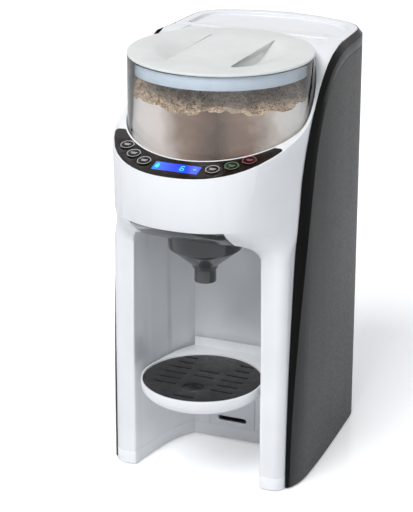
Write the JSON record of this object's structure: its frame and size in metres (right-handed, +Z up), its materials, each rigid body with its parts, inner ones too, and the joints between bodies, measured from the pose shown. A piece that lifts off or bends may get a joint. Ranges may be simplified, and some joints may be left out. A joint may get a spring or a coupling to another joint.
{
  "type": "baby formula maker",
  "caption": "Countertop machine that doses powder from a clear lidded hopper, heats water from a rear tank and mixes both through a funnel over a bottle bay with a drip tray.",
  "frame": {"origin": "bottom centre of the whole machine, on the counter", "axes": "+Z up, -Y towards the user (panel and bottle bay), +X to the user's right"},
  "size_m": [0.194, 0.2977, 0.4071],
  "materials": {
    "white": "smooth",
    "white_inner": "fine",
    "trim": "smooth",
    "cover": "satin",
    "rubber": "fine",
    "steel": "plated",
    "panel": "smooth",
    "lcd": "lit",
    "key": "smooth",
    "board": "solder mask",
    "grey": "fine",
    "dark": "fine",
    "smoke": "smooth",
    "clear": "smooth",
    "tank_clear": "smooth",
    "hose": "silicone",
    "brass": "machined",
    "acetal": "moulded",
    "powder": "grainy",
    "lid": "smooth",
    "lid_grey": "smooth",
    "blackm": "smooth"
  },
  "bodies": {
    "body": {"base_pan": "white", "rubber_feet": "rubber", "base_screws": "steel", "front_shell": "white", "bay_ceiling": "white_inner", "slot_panel": "white_inner", "hopper_deck": "white_inner", "control_panel": "panel", "display_window": "lcd", "key_board": "board", "left_trim": "trim", "right_trim": "trim", "left_cover": "cover", "right_cover": "cover", "back_cover": "cover", "chassis": "grey", "power_board": "board", "pump": "dark", "heater": "steel", "valve_socket": "grey", "tube_tank_pump": "hose", "tube_pump_heater": "hose", "tube_heater_nozzle": "hose", "water_nozzle": "grey", "switch_housing": "grey", "cord_inlet": "blackm", "gear_plate": "grey", "motor": "steel"},
    "wheels": {"dosing_wheel": "acetal", "stirring_wheel": "acetal"},
    "output": {"output_gear": "acetal"},
    "idler": {"idler_gear": "acetal"},
    "pinion": {"motor_pinion": "brass"},
    "hopper": {"hopper_wall": "clear", "hopper_base": "white_inner", "powder_wiper": "acetal", "formula_powder": "powder"},
    "gasket": {"lid_seal": "rubber"},
    "lid": {"hopper_lid": "lid", "lid_skirt": "lid_grey"},
    "funnel": {"mixing_funnel": "smoke"},
    "tray": {"drip_tray": "white"},
    "grille": {"drip_grille": "blackm"},
    "tank": {"water_tank": "tank_clear", "tank_spring": "steel"},
    "tank_cover": {"tank_lid": "white"},
    "valve": {"tank_plunger": "grey", "plunger_seal": "rubber"},
    "rocker": {"rocker_switch": "blackm"},
    "key_left_1": {"key_left_1": "key"},
    "key_left_2": {"key_left_2": "key"},
    "key_left_3": {"key_left_3": "key"},
    "key_right_1": {"key_right_1": "key"},
    "key_right_2": {"key_right_2": "key"},
    "key_right_3": {"key_right_3": "key"}
  },
  "joints": [
    {"name": "hopper_lift", "type": "slide", "parent": "body", "child": "hopper", "axis": [0, 0, 1], "range_m": [0, 0.12]},
    {"name": "lid_lift", "type": "slide", "parent": "hopper", "child": "gasket", "axis": [0, 0, 1], "range_m": [0, 0.05]},
    {"name": "lid_turn", "type": "hinge", "parent": "gasket", "child": "lid", "pos_m": [0, -0.0305, 0.406], "axis": [0, 0, 1], "range_deg": [0, 12]},
    {"name": "wheel_spin", "type": "hinge", "parent": "hopper", "child": "wheels", "pos_m": [0, -0.0305, 0.308], "axis": [0, 0, 1], "continuous": true},
    {"name": "output_spin", "type": "hinge", "parent": "body", "child": "output", "pos_m": [0, -0.0305, 0.288], "axis": [0, 0, 1], "continuous": true},
    {"name": "idler_spin", "type": "hinge", "parent": "body", "child": "idler", "pos_m": [0, 0.0116, 0.288], "axis": [0, 0, 1], "continuous": true},
    {"name": "pinion_spin", "type": "hinge", "parent": "body", "child": "pinion", "pos_m": [0, 0.0337, 0.288], "axis": [0, 0, 1], "continuous": true},
    {"name": "funnel_pull", "type": "slide", "parent": "body", "child": "funnel", "axis": [0, -1, 0], "range_m": [0, 0.14]},
    {"name": "tray_pull", "type": "slide", "parent": "body", "child": "tray", "axis": [0, -1, 0], "range_m": [0, 0.15]},
    {"name": "grille_lift", "type": "slide", "parent": "tray", "child": "grille", "axis": [0, 0, 1], "range_m": [0, 0.03]},
    {"name": "tank_lift", "type": "slide", "parent": "body", "child": "tank", "axis": [0, 0, 1], "range_m": [0, 0.17]},
    {"name": "tank_lid_lift", "type": "slide", "parent": "tank", "child": "tank_cover", "axis": [0, 0, 1], "range_m": [0, 0.06]},
    {"name": "valve_open", "type": "slide", "parent": "tank", "child": "valve", "axis": [0, 0, 1], "range_m": [0, 0.0025], "stiffness_N_per_m": 300, "deforming": ["tank_spring"]},
    {"name": "power_rock", "type": "hinge", "parent": "body", "child": "rocker", "pos_m": [0.034, 0.1432, 0.062], "axis": [1, 0, 0], "range_deg": [0, 14]},
    {"name": "press_left_1", "type": "slide", "parent": "body", "child": "key_left_1", "axis": [0, 0.2521, -0.9677], "range_m": [0, 0.0006], "stiffness_N_per_m": 1200},
    {"name": "press_left_2", "type": "slide", "parent": "body", "child": "key_left_2", "axis": [0, 0.2521, -0.9677], "range_m": [0, 0.0006], "stiffness_N_per_m": 1200},
    {"name": "press_left_3", "type": "slide", "parent": "body", "child": "key_left_3", "axis": [0, 0.2521, -0.9677], "range_m": [0, 0.0006], "stiffness_N_per_m": 1200},
    {"name": "press_right_1", "type": "slide", "parent": "body", "child": "key_right_1", "axis": [0, 0.2521, -0.9677], "range_m": [0, 0.0006], "stiffness_N_per_m": 1200},
    {"name": "press_right_2", "type": "slide", "parent": "body", "child": "key_right_2", "axis": [0, 0.2521, -0.9677], "range_m": [0, 0.0006], "stiffness_N_per_m": 1200},
    {"name": "press_right_3", "type": "slide", "parent": "body", "child": "key_right_3", "axis": [0, 0.2521, -0.9677], "range_m": [0, 0.0006], "stiffness_N_per_m": 1200}
  ],
  "couplings": [
    {"joint": "output_spin", "follows": "wheel_spin", "ratio": 1},
    {"joint": "idler_spin", "follows": "wheel_spin", "ratio": -1.8},
    {"joint": "pinion_spin", "follows": "wheel_spin", "ratio": 3.8571}
  ]
}
